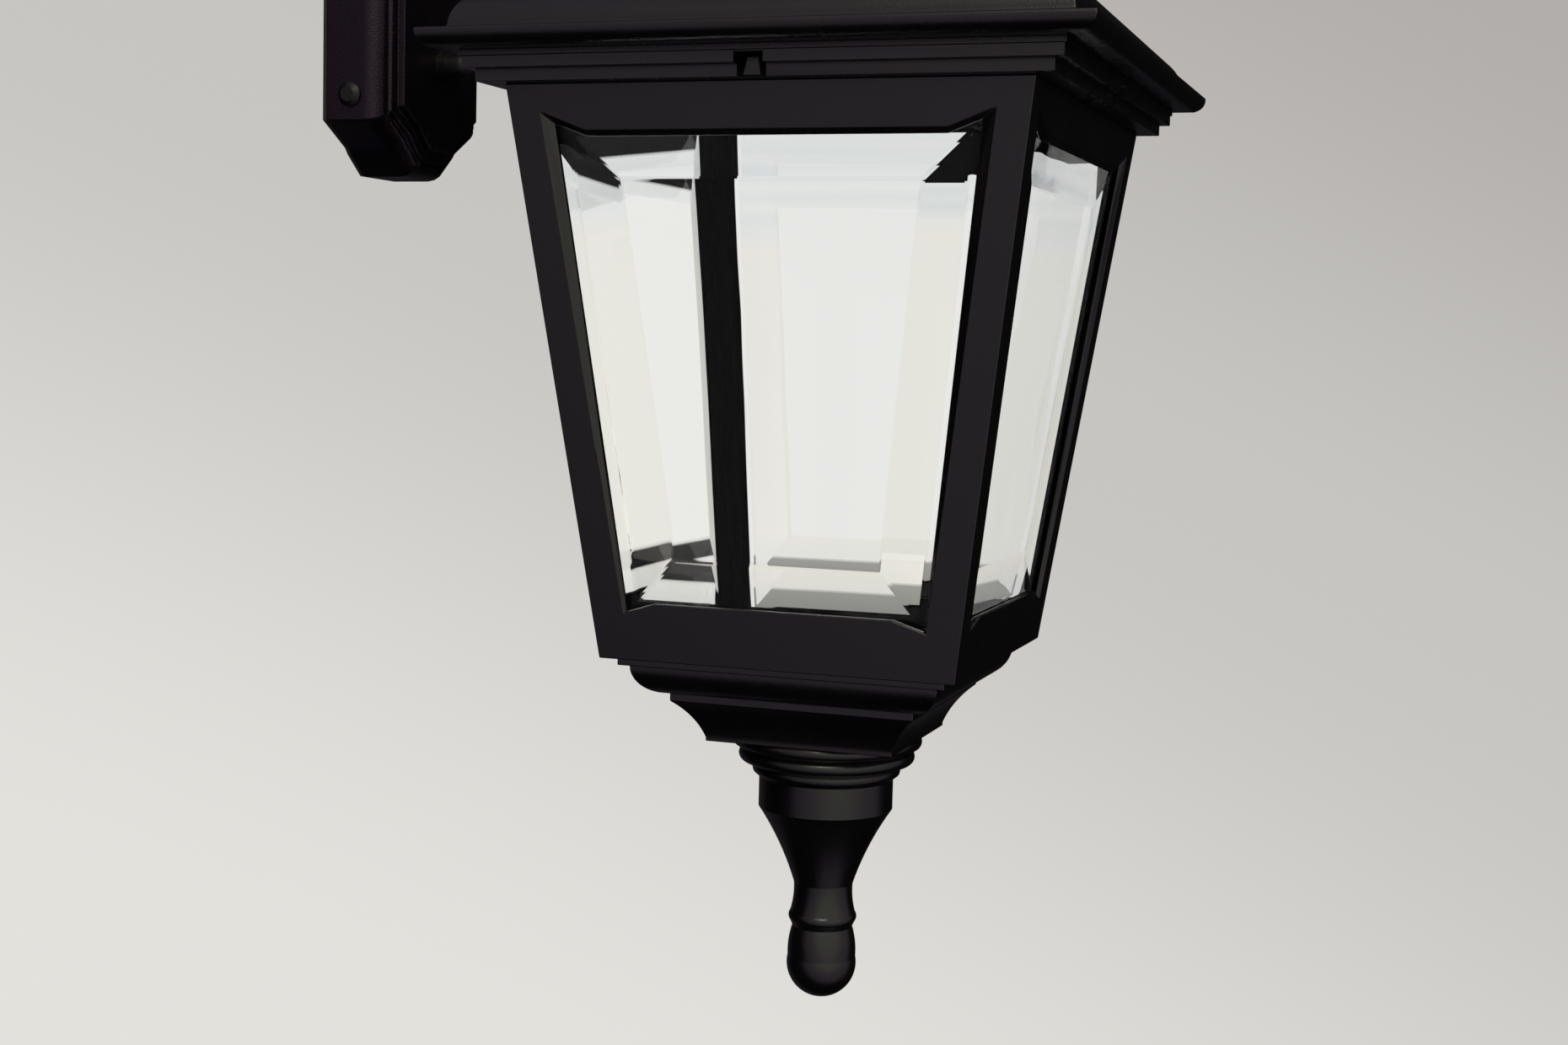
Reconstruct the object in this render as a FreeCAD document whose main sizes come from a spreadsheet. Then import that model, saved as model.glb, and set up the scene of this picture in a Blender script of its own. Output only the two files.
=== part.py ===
import FreeCAD
import Part
import Sketcher
import math
import os
import re

# Outdoor wall lantern on a crook arm, in millimetres.
# The origin is on the wall at the middle of the wall plate: X leads out from the wall, Z is up.
# The lantern's own pieces are drawn about its vertical axis, with height 0 at the top of its frame.

SIZES = {
    # Where the lantern hangs from the wall plate
    "reach": 203.0,
    "hang_height": 90.0,
    # Tapered frame, its posts and its shouldered windows
    "frame_top_half": 95.7,
    "frame_foot_half": 67.9,
    "frame_height": 207.0,
    "stile_top": 11.7,
    "stile_foot": 12.7,
    "head_rail": 9.7,
    "foot_rail": 17.6,
    "head_shoulder_run": 17.0,
    "head_shoulder_drop": 6.5,
    "foot_shoulder_run": 12.3,
    "foot_shoulder_rise": 4.0,
    "reveal_head_side": 5.2,
    "reveal_foot_side": 1.0,
    "reveal_head": 2.0,
    "reveal_foot": 0.3,
    "reveal_depth": 1.5,
    "face_wall": 2.6,
    "post_depth": 8.5,
    "foot_lip": 3.0,
    "foot_opening_in": 21.9,
    # Bevelled panes
    "pane_edge": 2.5,
    "pane_thick": 6.0,
    "pane_bite": 3.0,
    "pane_lip": 1.0,
    "pane_border": 3.5,
    "pane_bevel": 16.0,
    "pane_play": 0.2,
    # Cornice ring
    "cornice_low_over": 7.8,
    "cornice_low": 4.4,
    "cornice_over": 11.5,
    "cornice_band": 4.1,
    "bead_over": 12.2,
    "bead": 2.1,
    "cornice_inner_in": 0.7,
    "flange_in": 21.7,
    "flange_thick": 3.0,
    "notch_width": 10.5,
    "notch_rise": 8.3,
    "notch_back_over": 1.8,
    # Roof and its eave
    "eave_over": 24.0,
    "rim_round": 5.4,
    "rim_lip": 1.0,
    "ledge_width": 8.5,
    "roof_ledge_rise": 1.2,
    "roof_bend": 14.0,
    "roof_pitch": 41.6,
    "roof_top_half": 24.0,
    "roof_wall": 3.2,
    "roof_crown": 4.5,
    "rim_floor": 3.8,
    "rim_inner_over": 2.3,
    "boss_in": 18.2,
    "boss_radius": 4.5,
    # Screws of the lantern
    "screw_radius": 1.6,
    "screw_play": 0.15,
    "screw_end_play": 1.0,
    "screw_head_radius": 3.7,
    "screw_head": 2.6,
    "roof_screw_grip": 12.0,
    "post_screw_grip": 14.0,
    "post_screw_inset": 5.4,
    # Base moulding
    "base_flange_in": 5.1,
    "base_flange": 3.0,
    "ovolo_in": 8.6,
    "ovolo_fillet": 1.5,
    "ovolo_rise": 10.0,
    "ovolo_radius": 11.5,
    "fillet_in": 20.3,
    "fillet": 3.1,
    "cavetto_rise": 14.8,
    "cavetto_radius": 32.0,
    "base_foot_in": 31.0,
    "base_foot": 1.4,
    "base_wall": 4.5,
    # Foot bar and finial bolt
    "bar_in": 12.9,
    "bar_width": 18.0,
    "bar_thick": 3.0,
    "bolt_radius": 3.0,
    "bolt_play": 0.15,
    "bolt_flats": 10.0,
    "bolt_head": 4.0,
    "bolt_grip": 20.0,
    "bolt_well": 22.0,
    # Finial, from its rings down to its tip
    "ring_radius": 36.4,
    "ring_height": 3.8,
    "ring_step": 1.9,
    "mid_ring_radius": 33.2,
    "mid_ring_height": 4.6,
    "low_ring_radius": 28.6,
    "low_ring_height": 2.8,
    "ring_bulge": 2.7,
    "drum_radius": 26.3,
    "drum_height": 11.9,
    "bell_height": 30.5,
    "bell_bow": 118.0,
    "neck_radius": 11.6,
    "neck_height": 11.6,
    "neck_bow": 34.0,
    "bead_radius": 12.8,
    "bead_height": 3.4,
    "groove_radius": 11.8,
    "groove_height": 2.2,
    "acorn_radius": 13.4,
    "acorn_shoulder": 12.0,
    "acorn_round": 16.5,
    # Wall plate
    "plate_half": 41.5,
    "plate_end": 115.6,
    "shoulder_in": 16.8,
    "shoulder_fall": 9.4,
    "knee_in": 2.1,
    "knee_fall": 2.4,
    "end_in": 10.3,
    "end_fall": 8.0,
    "plate_side": 18.0,
    "cove_ledge": 2.0,
    "cove_run": 10.0,
    "cove_rise": 7.0,
    "low_step_inset": 12.3,
    "low_step": 1.5,
    "panel_inset": 13.3,
    "panel_step": 4.0,
    "plate_wall": 3.5,
    "ledge_wall": 2.2,
    "gasket_thick": 1.5,
    "gasket_inset": 0.3,
    "gasket_width": 2.9,
    # Bracket, studs and nuts of the wall plate
    "strap_half": 20.0,
    "strap_in": 17.8,
    "strap_thick": 2.0,
    "ear_height": 10.0,
    "ear_play": 0.3,
    "wall_hole_radius": 2.75,
    "wall_hole_spacing": 104.0,
    "cable_hole_radius": 9.0,
    "cable_hole_drop": 22.0,
    "stud_radius": 3.0,
    "stud_play": 0.2,
    "stud_in": 45.8,
    "stud_grip": 8.0,
    "nut_well": 9.0,
    "nut_flange_radius": 6.2,
    "nut_flange": 2.8,
    "nut_dome_radius": 5.4,
    "nut_barrel": 6.4,
    "side_screw_out": 12.3,
    "side_screw_in": 29.8,
    "side_screw_radius": 2.0,
    "side_screw_length": 9.0,
    "side_head_radius": 4.8,
    "side_head": 2.4,
    # Wiring pieces on the strap
    "grommet_flange_radius": 11.0,
    "grommet_flange": 2.5,
    "grommet_bore": 5.0,
    "block_out": 15.0,
    "block_half": 15.0,
    "block_tall": 24.0,
    "block_rise": 25.0,
    "pole_pitch": 9.0,
    "wire_radius": 2.0,
    "wire_out": 6.0,
    "clamp_well_radius": 2.3,
    "clamp_well": 7.0,
    "clamp_radius": 2.1,
    "clamp_length": 4.0,
    "earth_side": 12.0,
    "earth_drop": 40.0,
    "earth_radius": 1.9,
    "earth_head_radius": 3.6,
    "earth_head": 2.6,
    # Crook arm, its nuts and the roof collar
    "tube_radius": 9.5,
    "tube_bore": 6.5,
    "elbow_radius": 38.0,
    "crook_radius": 55.0,
    "arm_rise": 12.0,
    "foot_flange_radius": 17.0,
    "foot_flange": 5.0,
    "end_flange_radius": 13.5,
    "end_flange": 3.0,
    "spigot_radius": 8.0,
    "spigot_bore": 5.0,
    "spigot_play": 0.15,
    "spigot_past_nut": 2.0,
    "hex_flats": 22.0,
    "hex_thick": 6.0,
    "collar_foot_radius": 21.5,
    "collar_foot": 4.0,
    "collar_sweep": 12.0,
    "collar_bow": 13.0,
    "collar_neck_radius": 13.5,
    "collar_neck": 4.0,
    # Lampholder
    "holder_cap_radius": 13.0,
    "holder_cap": 6.0,
    "holder_entry": 5.5,
    "holder_shoulder": 8.0,
    "holder_radius": 20.5,
    "holder_length": 50.0,
    "holder_roof": 16.0,
    "shell_bore": 13.3,
    "shell_wall": 0.9,
    "shell_play": 0.15,
    "shell_length": 27.0,
    "shell_lip": 3.0,
    "contact_radius": 6.0,
    "contact_plate": 1.5,
    "contact_tip_radius": 3.0,
    "contact_tip": 2.0,
}

V = FreeCAD.Vector
OVER = 5.0            # how far a cutting shape runs past the solid it cuts
COVE_SECTIONS = 4     # outlines along the plate's cove
doc = FreeCAD.newDocument("WallLantern")
sheet = doc.addObject("Spreadsheet::Sheet", "Sizes")
for row, (name, number) in enumerate(SIZES.items(), 1):
    sheet.set(f"A{row}", name)
    sheet.set(f"B{row}", str(number))
    sheet.setAlias(f"B{row}", name)
doc.recompute()
nodes = []


def size(formula):
    """Number that a formula in the sheet's names gives."""
    return float(sheet.evalExpression(formula))


def tie(item, prop, formula):
    """Bind a property to a formula in the sheet's names."""
    bound = re.sub(r"[a-z][a-z_0-9]*", lambda m: f"Sizes.{m[0]}" if m[0] in SIZES else m[0], formula)
    item.setExpression(prop, bound)


def node(item, label):
    """Name a finished sub-part."""
    item.Label = label
    nodes.append(item)
    return item


def place(item, x="0", y="0", z="0", turn="rotationz(0)"):
    """Set a piece's position and rotation by formulas."""
    tie(item, "Placement", f"placement(vector({x}; {y}; {z}); {turn})")
    return item


def hang(item):
    """Move a piece drawn about the lantern's axis to where the lantern hangs."""
    return place(item, "reach", "0", "-hang_height")


def bow(start, end, radius, side):
    """Arc between two points, its centre left (1) or right (-1) of the way from start to end."""
    chord = end - start
    left = V(-chord.y, chord.x, 0) / chord.Length
    centre = start + chord / 2 + left * side * math.sqrt(radius ** 2 - chord.Length ** 2 / 4)
    middle = centre + (start + chord / 2 - centre).normalize() * radius
    return Part.Arc(start, middle, end)


def draw(sketch, corners):
    """Closed outline through corners (x, y); a corner (x, y, radius, side) is reached along an arc."""
    ends = [V(size(corner[0]), size(corner[1]), 0) for corner in corners]
    edges = []
    for index, corner in enumerate(corners):
        start, end = ends[index - 1], ends[index]
        if len(corner) == 2:
            edge = sketch.addGeometry(Part.LineSegment(start, end), False)
        else:
            edge = sketch.addGeometry(bow(start, end, size(corner[2]), corner[3]), False)
            radius = sketch.addConstraint(Sketcher.Constraint("Radius", edge, size(corner[2])))
            tie(sketch, f"Constraints[{radius}]", corner[2])
        reversed_arc = (sketch.getPoint(edge, 1) - start).Length > (sketch.getPoint(edge, 2) - start).Length
        edges.append((edge, 2, 1) if reversed_arc else (edge, 1, 2))
    for index, (edge, tail, head) in enumerate(edges):
        before = edges[index - 1]
        sketch.addConstraint(Sketcher.Constraint("Coincident", before[0], before[2], edge, tail))
    for (edge, tail, head), corner in zip(edges, corners):
        for axis, other, formula in (("X", -2, corner[0]), ("Y", -1, corner[1])):
            if formula == "0":
                sketch.addConstraint(Sketcher.Constraint("PointOnObject", edge, head, other))
                continue
            span = sketch.addConstraint(Sketcher.Constraint(f"Distance{axis}", -1, 1, edge, head, size(formula)))
            tie(sketch, f"Constraints[{span}]", formula)
    return sketch


UPRIGHT = {
    "XZ": FreeCAD.Rotation(V(1, 0, 0), 90),
    "YZ": FreeCAD.Rotation(V(1, 1, 1), 120),
}
ACROSS = {"XZ": V(0, 1, 0), "YZ": V(1, 0, 0)}


def slab(name, plane, outlines, length):
    """Solid of one or more outlines on an upright plane, pushed out equally to both sides."""
    sketch = doc.addObject("Sketcher::SketchObject", f"{name}_outline")
    sketch.Placement = FreeCAD.Placement(V(), UPRIGHT[plane])
    for outline in outlines:
        draw(sketch, outline)
    doc.recompute()
    return push(name, sketch, plane, length)


def push(name, sketch, plane, length):
    """Extrusion of an upright sketch to both sides of its plane."""
    solid = doc.addObject("Part::Extrusion", name)
    solid.Base = sketch
    solid.DirMode = "Custom"
    solid.Dir = ACROSS[plane]
    solid.Symmetric = True
    solid.Solid = True
    tie(solid, "LengthFwd", length)
    return solid


def quarter_turn(item):
    """Turn a piece by a quarter about the lantern's axis."""
    item.Placement = FreeCAD.Placement(V(), FreeCAD.Rotation(V(0, 0, 1), 90))
    return item


def boolean(kind, name, base, tool):
    """Cut or common of two pieces."""
    item = doc.addObject(f"Part::{kind}", name)
    item.Base = base
    item.Tool = tool
    return item


def joined(name, pieces):
    """Union of several pieces."""
    item = doc.addObject("Part::MultiFuse", name)
    item.Shapes = pieces
    return item


def group(label, pieces):
    """Like pieces as separate solids of one sub-part."""
    item = doc.addObject("Part::Compound", label)
    item.Links = pieces
    return node(item, label)


def cylinder(name, radius, height, x="0", y="0", z="0", turn="rotationz(0)"):
    """Round rod that starts at a point and runs up, or along its turned axis."""
    item = doc.addObject("Part::Cylinder", name)
    tie(item, "Radius", radius)
    tie(item, "Height", height)
    return place(item, x, y, z, turn)


def box(name, length, width, height, x, y, z):
    """Block from its lowest corner."""
    item = doc.addObject("Part::Box", name)
    tie(item, "Length", length)
    tie(item, "Width", width)
    tie(item, "Height", height)
    return place(item, x, y, z)


def squared(name, corners):
    """Square mitred moulding: the same half profile on all four sides, given from the bottom up."""
    far = [(f"-({x})", z) for x, z in (corner[:2] for corner in corners)]
    left = []
    for index in reversed(range(len(corners))):
        arc = corners[index + 1][2:] if index + 1 < len(corners) else ()
        left.append(far[index] + tuple(arc))
    along_y = slab(f"{name}_y", "XZ", [list(corners) + left], "4 * frame_top_half")
    along_x = quarter_turn(push(f"{name}_x", along_y.Base, "XZ", "4 * frame_top_half"))
    return boolean("Common", name, along_y, along_x)


def turned(name, corners):
    """Round piece turned about its upright axis from a half section."""
    body = doc.addObject("PartDesign::Body", name)
    plane = next(item for item in body.Origin.OriginFeatures if item.Role == "XZ_Plane")
    sketch = body.newObject("Sketcher::SketchObject", f"{name}_section")
    sketch.AttachmentSupport = [(plane, "")]
    sketch.MapMode = "FlatFace"
    draw(sketch, corners)
    doc.recompute()
    turn = body.newObject("PartDesign::Revolution", f"{name}_turn")
    turn.Profile = sketch
    turn.ReferenceAxis = (sketch, ["V_Axis"])
    turn.Angle = 360
    return body


def screw(name, head_radius, head, shank_radius, shank, x, y, z, turn="rotationz(0)"):
    """Round-headed screw whose head sits below the point and whose shank runs up from it."""
    body = turned(name, [
        ("0", f"-({head})"),
        (f"{head_radius} * 0.6", f"-({head})"),
        (head_radius, f"-({head}) * 0.4"),
        (head_radius, "0"),
        (shank_radius, "0"),
        (shank_radius, shank),
        ("0", shank),
    ])
    return place(body, x, y, z, turn)


def hex_nut(label, x, z, turn):
    """Hexagon nut on one of the arm's spigots, from its seat."""
    prism = doc.addObject("Part::Prism", f"{label}_hexagon")
    prism.Polygon = 6
    tie(prism, "Circumradius", "hex_flats / sqrt(3)")
    tie(prism, "Height", "hex_thick")
    bore = cylinder(f"{label}_bore", "spigot_radius + spigot_play", f"hex_thick + {2 * OVER}", z=f"-{OVER}")
    return place(node(boolean("Cut", label, prism, bore), label), x, "0", z, turn)


# Lantern frame: one tapered casting with grooved posts and shouldered rails
TAPER = "((frame_top_half - frame_foot_half) / frame_height)"


def face(depth):
    """Half width of the frame's outer faces at a depth below its top."""
    return f"(frame_top_half - ({depth}) * {TAPER})"


WINDOW_FOOT = "(frame_height - foot_rail)"
HEAD_HALF = f"({face('head_rail')} - stile_top)"
FOOT_HALF = f"({face(WINDOW_FOOT)} - stile_foot)"
INNER_HEAD_HALF = f"({HEAD_HALF} - reveal_head_side)"
INNER_FOOT_HALF = f"({FOOT_HALF} - reveal_foot_side)"
HEAD_DIP = "(head_rail + head_shoulder_drop)"
FOOT_RISE = f"({WINDOW_FOOT} - foot_shoulder_rise)"
HEAD_SLOPE = "(head_shoulder_drop / head_shoulder_run)"
FOOT_SLOPE = "(foot_shoulder_rise / foot_shoulder_run)"
INNER_HEAD = f"({HEAD_DIP} + reveal_head - (head_shoulder_run - reveal_head_side) * {HEAD_SLOPE})"
INNER_FOOT = f"({FOOT_RISE} - reveal_foot + (foot_shoulder_run - reveal_foot_side) * {FOOT_SLOPE})"
CLOSING = f"(({INNER_HEAD_HALF} - {INNER_FOOT_HALF}) / ({INNER_FOOT} - {INNER_HEAD}))"


def opening(depth):
    """Half width between the posts behind the faces, at a depth below the frame's top."""
    return f"({INNER_HEAD_HALF} - (({depth}) - {INNER_HEAD}) * {CLOSING})"


PANE_HEAD = f"({INNER_HEAD} - pane_bite)"
PANE_FOOT = f"({INNER_FOOT} + pane_bite)"
SLOT_FOOT = f"({PANE_FOOT} + pane_play)"
FRAME_SPAN = "4 * frame_top_half"
TILT = f"atan({TAPER})"
LEAN = f"cos({TILT})"


def side_slots(name, start, thickness, bite):
    """Flat slots behind all four faces, open at the frame's top, between two depths from the face."""
    def layer(depth, height):
        return f"({face(f'-({height})')} - ({depth}))"
    top = f"{OVER}"
    foot = f"-{SLOT_FOOT}"
    strips = []
    for sign in ("", "-"):
        strips.append([
            (f"{sign}{layer(start, foot)}", foot),
            (f"{sign}{layer(start, top)}", top),
            (f"{sign}{layer(f'{start} + {thickness}', top)}", top),
            (f"{sign}{layer(f'{start} + {thickness}', foot)}", foot),
        ])
    strip = slab(f"{name}_strip", "YZ", strips, FRAME_SPAN)
    half_top = f"({opening(f'-{OVER}')} + {bite})"
    half_foot = f"({opening(SLOT_FOOT)} + {bite})"
    panel = slab(f"{name}_panel", "XZ", [[
        (half_foot, foot), (half_top, top), (f"-{half_top}", top), (f"-{half_foot}", foot),
    ]], FRAME_SPAN)
    across = boolean("Common", f"{name}_pair", strip, panel)
    along = quarter_turn(boolean("Common", f"{name}_turned_pair", strip, panel))
    return [across, along]


head_shoulder = f"({HEAD_HALF} - head_shoulder_run)"
foot_shoulder = f"({FOOT_HALF} - foot_shoulder_run)"
front_corners = [
    (FOOT_HALF, WINDOW_FOOT), (HEAD_HALF, "head_rail"),
    (head_shoulder, HEAD_DIP), (f"-{head_shoulder}", HEAD_DIP),
    (f"-{HEAD_HALF}", "head_rail"), (f"-{FOOT_HALF}", WINDOW_FOOT), (f"-{foot_shoulder}", FOOT_RISE),
    (foot_shoulder, FOOT_RISE),
]
inner_dip = f"({HEAD_DIP} + reveal_head)"
inner_rise = f"({FOOT_RISE} - reveal_foot)"
inner_corners = [
    (INNER_FOOT_HALF, INNER_FOOT), (INNER_HEAD_HALF, INNER_HEAD), (head_shoulder, inner_dip),
    (f"-{head_shoulder}", inner_dip), (f"-{INNER_HEAD_HALF}", INNER_HEAD),
    (f"-{INNER_FOOT_HALF}", INNER_FOOT),
    (f"-{foot_shoulder}", inner_rise), (foot_shoulder, inner_rise),
]
windows = slab("windows", "XZ", [[(x, f"-{depth}") for x, depth in inner_corners]], FRAME_SPAN)
side_windows = quarter_turn(push("side_windows", windows.Base, "XZ", FRAME_SPAN))


def sloped_outline(name, corners, depth):
    """Window outline drawn on a plane that leans as the frame's face does, at a depth behind that face."""
    sketch = doc.addObject("Sketcher::SketchObject", name)
    draw(sketch, [(x, f"-({down}) / {LEAN}") for x, down in corners])
    return place(sketch, "0", f"({depth}) - frame_top_half", "0", f"rotationx({TILT}) * rotationx(90)")


outer_corners = [
    (f"(2 * {front[0]} - ({inner[0]}))", f"(2 * {front[1]} - {inner[1]})")
    for front, inner in zip(front_corners, inner_corners)
]
draft_sections = [sloped_outline("draft_outside", outer_corners, "-reveal_depth"),
                  sloped_outline("draft_inside", inner_corners, "reveal_depth")]
doc.recompute()
drafts = []
for quarter in range(4):
    draft = doc.addObject("Part::Loft", f"draft_{quarter}")
    draft.Sections = draft_sections
    draft.Solid = True
    draft.Ruled = True
    draft.Placement = FreeCAD.Placement(V(), FreeCAD.Rotation(V(0, 0, 1), 90 * quarter))
    drafts.append(draft)
frame_block = squared("frame_block", [("frame_foot_half", "-frame_height"), ("frame_top_half", "0")])
cavity_foot = "(frame_height - foot_lip)"
frame_cavity = squared("frame_cavity", [
    (f"{face(cavity_foot)} - post_depth", f"-{cavity_foot}"),
    ("frame_top_half - post_depth", "0"),
    ("frame_top_half - post_depth", f"{OVER}"),
])
FOOT_OPENING = "(frame_foot_half - foot_opening_in)"
foot_opening = box("foot_opening", f"2 * {FOOT_OPENING}", f"2 * {FOOT_OPENING}", f"foot_lip + {2 * OVER}",
                   f"-{FOOT_OPENING}", f"-{FOOT_OPENING}", f"-frame_height - {OVER}")
recesses = side_slots("recess", "face_wall", "2 * post_depth", "(pane_bite - pane_lip)")
grooves = side_slots("groove", "face_wall", "(pane_edge + 2 * pane_play)", "(pane_bite + pane_play)")
CORNERS = [(a, b) for a in ("", "-") for b in ("", "-")]
POST_SCREW = "(frame_top_half - post_screw_inset)"
post_holes = [
    cylinder(f"post_hole_{index}", "screw_radius + screw_play", f"post_screw_grip + {2 * OVER}",
             f"{a}{POST_SCREW}", f"{b}{POST_SCREW}", f"-post_screw_grip - {OVER}")
    for index, (a, b) in enumerate(CORNERS)
]
window_voids = [windows, side_windows] + drafts + recesses + grooves
frame_voids = joined("frame_voids", [frame_cavity, foot_opening] + window_voids + post_holes)
hang(node(boolean("Cut", "lantern_frame_cut", frame_block, frame_voids), "lantern_frame"))

# Panes: flat outside, with a thin border in the grooves and a wide bevel inside
def pane_outline(inset):
    """Trapezium of a pane, drawn in its own plane from its top edge down, moved in by an inset."""
    top = f"({opening(PANE_HEAD)} + pane_bite)"
    foot = f"({opening(PANE_FOOT)} + pane_bite)"
    fall = f"(({PANE_FOOT} - {PANE_HEAD}) / {LEAN})"
    side_slope = f"(({top} - {foot}) / {fall})"
    side_inset = f"(({inset}) * sqrt(1 + {side_slope} ^ 2))"
    high = f"({top} - ({inset}) * {side_slope} - {side_inset})"
    low = f"({foot} + ({inset}) * {side_slope} - {side_inset})"
    return [
        (low, f"-({fall} - ({inset}))"), (high, f"-({inset})"), (f"-{high}", f"-({inset})"),
        (f"-{low}", f"-({fall} - ({inset}))"),
    ]


def pane(label, turn):
    """Bevelled pane behind the face that looks the way of the turn from -Y."""
    body = doc.addObject("PartDesign::Body", label)
    plane = next(item for item in body.Origin.OriginFeatures if item.Role == "XZ_Plane")
    sections = []
    layers = [("border", "0", "0"), ("bevel_start", "pane_edge", "pane_bite + pane_border"),
              ("bevel_end", "pane_thick", "pane_bite + pane_border + pane_bevel")]
    for part_name, depth, inset in layers:
        sketch = body.newObject("Sketcher::SketchObject", f"{label}_{part_name}")
        sketch.AttachmentSupport = [(plane, "")]
        sketch.MapMode = "FlatFace"
        tie(sketch, "AttachmentOffset.Base.z", f"-({depth})")
        draw(sketch, pane_outline(inset))
        sections.append(sketch)
    doc.recompute()
    border = body.newObject("PartDesign::Pad", f"{label}_sheet")
    border.Profile = sections[0]
    border.Reversed = True
    tie(border, "Length", "pane_edge")
    doc.recompute()
    bevel = body.newObject("PartDesign::AdditiveLoft", f"{label}_bevel")
    bevel.Profile = sections[1]
    bevel.Sections = [sections[2]]
    bevel.Ruled = True
    out = f"({face(PANE_HEAD)} - face_wall - pane_play)"
    place(body, f"reach + {out} * sin({turn})", f"-{out} * cos({turn})", f"-{PANE_HEAD} - hang_height",
          f"rotationz({turn}) * rotationx({TILT})")
    return node(body, label)


for label, turn in (("pane_left", 0), ("pane_front", 90), ("pane_right", 180), ("pane_back", 270)):
    pane(label, turn)

# Cornice ring: two steps and a bead outside, a flange inside that covers the panes' tops
CORNICE = "(cornice_low + cornice_band + bead)"
LOW_HALF = "(frame_top_half + cornice_low_over)"
BAND_HALF = "(frame_top_half + cornice_over)"
BEAD_HALF = "(frame_top_half + bead_over)"
INNER_HALF = "(frame_top_half - cornice_inner_in)"
FLANGE_HALF = "(frame_top_half - flange_in)"
NOTCH_BACK = "(frame_top_half + notch_back_over)"
BOSS_HALF = "(frame_top_half - boss_in)"
BAND_TOP = "(cornice_low + cornice_band)"
ring_block = squared("cornice_block", [
    (LOW_HALF, "0"), (LOW_HALF, "cornice_low"), (BAND_HALF, "cornice_low"),
    (BAND_HALF, BAND_TOP), (BEAD_HALF, BAND_TOP), (BEAD_HALF, CORNICE),
])
ring_hollow = squared("cornice_hollow", [
    (FLANGE_HALF, f"-{OVER}"), (FLANGE_HALF, "flange_thick"), (INNER_HALF, "flange_thick"),
    (INNER_HALF, f"{CORNICE} + {OVER}"),
])
notch_outlines = [
    [(f"{sign}{LOW_HALF}", "0"), (f"{sign}({BEAD_HALF} + {OVER})", "0"),
     (f"{sign}({BEAD_HALF} + {OVER})", "notch_rise"), (f"{sign}{NOTCH_BACK}", "notch_rise")]
    for sign in ("", "-")
]
notches = slab("notches", "YZ", notch_outlines, "notch_width")
side_notches = quarter_turn(push("side_notches", notches.Base, "YZ", "notch_width"))
ring_holes = []
for index, (a, b) in enumerate(CORNERS):
    for name, half in (("post", POST_SCREW), ("roof", BOSS_HALF)):
        ring_holes.append(cylinder(f"ring_{name}_hole_{index}", "screw_radius + screw_play",
                                   f"flange_thick + {2 * OVER}", f"{a}{half}", f"{b}{half}", f"-{OVER}"))
ring_voids = joined("cornice_voids", [ring_hollow, notches, side_notches] + ring_holes)
hang(node(boolean("Cut", "cornice_ring_cut", ring_block, ring_voids), "cornice_ring"))
group("post_screws", [
    screw(f"post_screw_{index}", "screw_head_radius", "screw_head", "screw_radius",
          "flange_thick + post_screw_grip - screw_end_play",
          f"reach + {a}{POST_SCREW}", f"{b}{POST_SCREW}", "flange_thick - hang_height", "rotationx(180)")
    for index, (a, b) in enumerate(CORNERS)
])

# Roof: hollow pyramid above a rounded eave, with four screw bosses inside
EAVE_HALF = "(frame_top_half + eave_over)"
ROOF_FOOT_HALF = f"({EAVE_HALF} - ledge_width)"
EAVE_TOP = f"({CORNICE} + rim_round + rim_lip)"
ROOF_FOOT = f"({EAVE_TOP} + roof_ledge_rise)"
KNEE_HALF = f"({ROOF_FOOT_HALF} - roof_bend * (1 - sin(roof_pitch)))"
KNEE = f"({ROOF_FOOT} + roof_bend * cos(roof_pitch))"
ROOF_TOP = f"({KNEE} + ({KNEE_HALF} - roof_top_half) * tan(roof_pitch))"
SKIN = "(roof_wall / cos(roof_pitch))"
CEILING = f"({ROOF_TOP} - roof_crown)"


def under_roof(half):
    """Height of the roof's inner slope at a distance from the axis."""
    return f"({ROOF_TOP} - {SKIN} - (({half}) - roof_top_half) * tan(roof_pitch))"


roof_block = squared("roof_block", [
    (f"{EAVE_HALF} - rim_round", CORNICE), (EAVE_HALF, f"{CORNICE} + rim_round", "rim_round", 1),
    (EAVE_HALF, EAVE_TOP),
    (ROOF_FOOT_HALF, ROOF_FOOT), (KNEE_HALF, KNEE, "roof_bend", 1), ("roof_top_half", ROOF_TOP),
])
skirt_half = f"({ROOF_FOOT_HALF} - roof_wall)"
rim_half = "(frame_top_half + rim_inner_over)"
roof_hollow = squared("roof_hollow", [
    (rim_half, f"{CORNICE} - {OVER}"), (rim_half, f"{CORNICE} + rim_floor"),
    (skirt_half, f"{CORNICE} + rim_floor"),
    (skirt_half, under_roof(skirt_half)),
    (f"roof_top_half - ({SKIN} - roof_crown) / tan(roof_pitch)", CEILING),
])
roof_envelope = squared("roof_envelope", [
    (KNEE_HALF, "0"), (KNEE_HALF, KNEE), ("roof_top_half", ROOF_TOP),
])
boss_rods = joined("boss_rods", [
    cylinder(f"boss_rod_{index}", "boss_radius", f"{ROOF_TOP} - flange_thick",
             f"{a}{BOSS_HALF}", f"{b}{BOSS_HALF}", "flange_thick")
    for index, (a, b) in enumerate(CORNERS)
])
bosses = boolean("Common", "bosses", boss_rods, roof_envelope)
roof_shell = boolean("Cut", "roof_shell", roof_block, roof_hollow)
roof_holes = [
    cylinder(f"boss_hole_{index}", "screw_radius + screw_play", "roof_screw_grip + screw_end_play",
             f"{a}{BOSS_HALF}", f"{b}{BOSS_HALF}", "flange_thick")
    for index, (a, b) in enumerate(CORNERS)
]
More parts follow.
